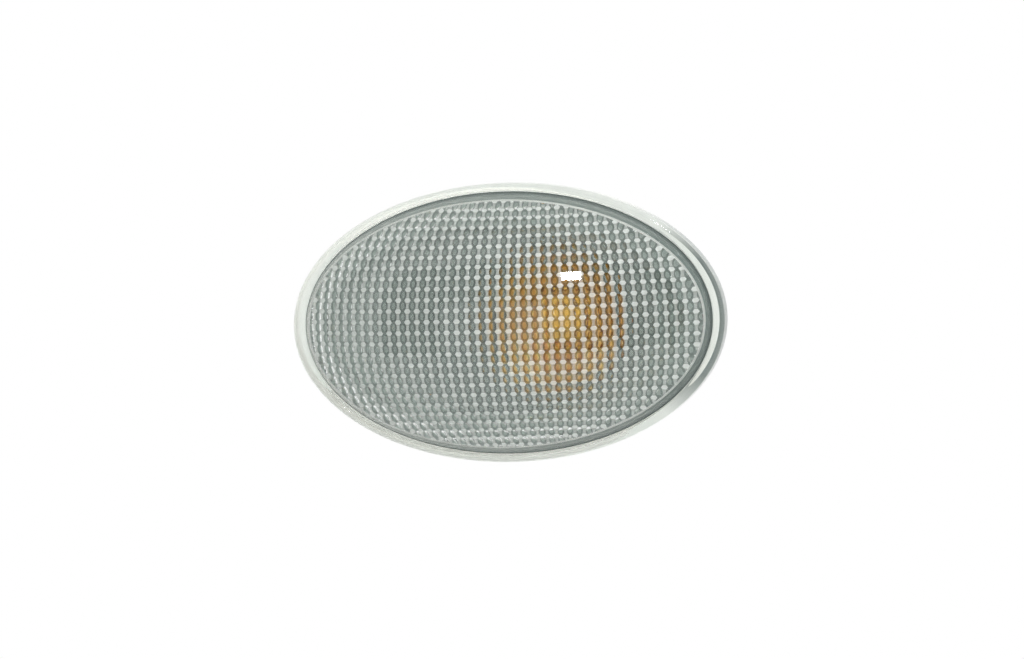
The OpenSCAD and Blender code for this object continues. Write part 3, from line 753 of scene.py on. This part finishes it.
def seen_directly(tree):
    """1 for a ray from the camera, or one that came by way of a mirror or glass."""
    path = add(tree, "ShaderNodeLightPath")
    total = path.outputs["Is Camera Ray"]
    for kind in ("Is Glossy Ray", "Is Transmission Ray"):
        total = add(tree, "ShaderNodeMath", links={0: total, 1: path.outputs[kind]},
                    operation="MAXIMUM").outputs[0]
    return total


def pale_paper():
    """Uncoated pale paper, which the camera, mirrors and glass see as plain white."""
    material, tree, surface = new_material("pale_paper")
    paper = add(tree, "ShaderNodeBsdfDiffuse", {"Color": linear("#E6E6E4")})
    white = add(tree, "ShaderNodeEmission", {"Color": linear("#FFFFFF"), "Strength": 1.0})
    mix = add(tree, "ShaderNodeMixShader",
              links={0: seen_directly(tree), 1: paper.outputs[0], 2: white.outputs[0]})
    tree.links.new(mix.outputs[0], surface)
    return material


def build_floor():
    """A wide sheet of paper, well below the lamp."""
    half, drop = 1.5, -0.7
    mesh = bpy.data.meshes.new("floor")
    mesh.from_pydata([(-half, -half, drop), (half, -half, drop), (half, half, drop), (-half, half, drop)],
                     [], [(0, 1, 2, 3)])
    mesh.materials.append(pale_paper())
    floor = bpy.data.objects.new("floor", mesh)
    bpy.context.scene.collection.objects.link(floor)


def build_world():
    """White for the camera, mirrors and glass, and a dim even room for everything else."""
    world = bpy.data.worlds.new("studio")
    bpy.context.scene.world = world
    world.use_nodes = True
    tree = world.node_tree
    tree.nodes.clear()
    room = add(tree, "ShaderNodeBackground", {"Color": linear("#F2F5F6"), "Strength": ROOM_LIGHT})
    white = add(tree, "ShaderNodeBackground", {"Color": linear("#FFFFFF"), "Strength": 1.0})
    mix = add(tree, "ShaderNodeMixShader",
              links={0: seen_directly(tree), 1: room.outputs[0], 2: white.outputs[0]})
    add(tree, "ShaderNodeOutputWorld", links={"Surface": mix.outputs[0]})


def place_facing_origin(thing, place, face):
    """Puts a thing in its place with one of its axes towards the origin."""
    thing.location = place
    thing.rotation_mode = "QUATERNION"
    thing.rotation_quaternion = (-Vector(place)).to_track_quat(face, "Y")
    bpy.context.scene.collection.objects.link(thing)


def card(name, place, width, height, colour):
    """A flat card of one tone, seen only in reflections and through clear pieces."""
    material, tree, surface = new_material(name)
    tone = add(tree, "ShaderNodeEmission", {"Color": linear(colour), "Strength": 1.0})
    tree.links.new(tone.outputs[0], surface)
    mesh = bpy.data.meshes.new(name)
    w, h = width / 2, height / 2
    mesh.from_pydata([(-w, -h, 0), (w, -h, 0), (w, h, 0), (-w, h, 0)], [], [(0, 1, 2, 3)])
    mesh.materials.append(material)
    thing = bpy.data.objects.new(name, mesh)
    place_facing_origin(thing, place, "Z")
    thing.visible_camera = False
    thing.visible_shadow = False
    thing.visible_diffuse = False


def softbox(name, place, width, height, power):
    """A rectangular light that isn't seen through clear pieces."""
    data = bpy.data.lights.new(name, "AREA")
    data.energy = power
    data.shape = "RECTANGLE"
    data.size = width
    data.size_y = height
    light = bpy.data.objects.new(name, data)
    place_facing_origin(light, place, "-Z")
    light.visible_transmission = False
    return light


def build_lights():
    """A small softbox above and to the right, which the dome mirrors as a bright patch, seven wide
    ones that show in no reflection, and a white card and a wide dim one in front of the lamp."""
    softbox("key", KEY_PLACE, KEY_W, KEY_H, KEY_POWER)
    for name, place, width, power in SOFTBOXES:
        softbox(name, place, width, width, power).visible_glossy = False
    for name, place, width, height, colour in CARDS:
        card(name, place, width, height, colour)


def build_camera():
    """The camera stands to the lamp's right and a little above it, a metre away, and is rolled a
    little. The lamp's middle lies at centre_px in the picture, at a scale in pixels per millimetre."""
    azimuth, elevation, roll = math.radians(11.4), math.radians(3.67), math.radians(2.32)
    distance, scale = 1000.0, 4.969
    picture_w, picture_h = 1024, 659
    centre_px = (513.0, 320.8)
    sensor_w = 36
    near, far = 10, 20000
    back = Vector((math.sin(azimuth) * math.cos(elevation), -math.cos(azimuth) * math.cos(elevation),
                   math.sin(elevation)))
    right = Vector((math.cos(azimuth), math.sin(azimuth), 0))
    up = back.cross(right)
    right, up = (right * math.cos(roll) - up * math.sin(roll), up * math.cos(roll) + right * math.sin(roll))
    aside = (centre_px[0] - picture_w / 2) / scale
    above = (picture_h / 2 - centre_px[1]) / scale
    data = bpy.data.cameras.new("camera")
    data.sensor_width = sensor_w
    data.lens = scale * distance * sensor_w / picture_w
    data.clip_start, data.clip_end = near * MM, far * MM
    camera = bpy.data.objects.new("camera", data)
    place = (back * distance - right * aside - up * above) * MM
    camera.matrix_world = Matrix.Translation(place) @ Matrix((right, up, back)).transposed().to_4x4()
    bpy.context.scene.collection.objects.link(camera)
    bpy.context.scene.camera = camera


dress_cad_nodes()
build_lens()
build_filament()
smooth_copy("housing", "lamp_body")
smooth_copy("reflector", "lamp_body")
build_floor()
build_world()
build_lights()
build_camera()
bpy.context.scene.view_settings.view_transform = "Standard"
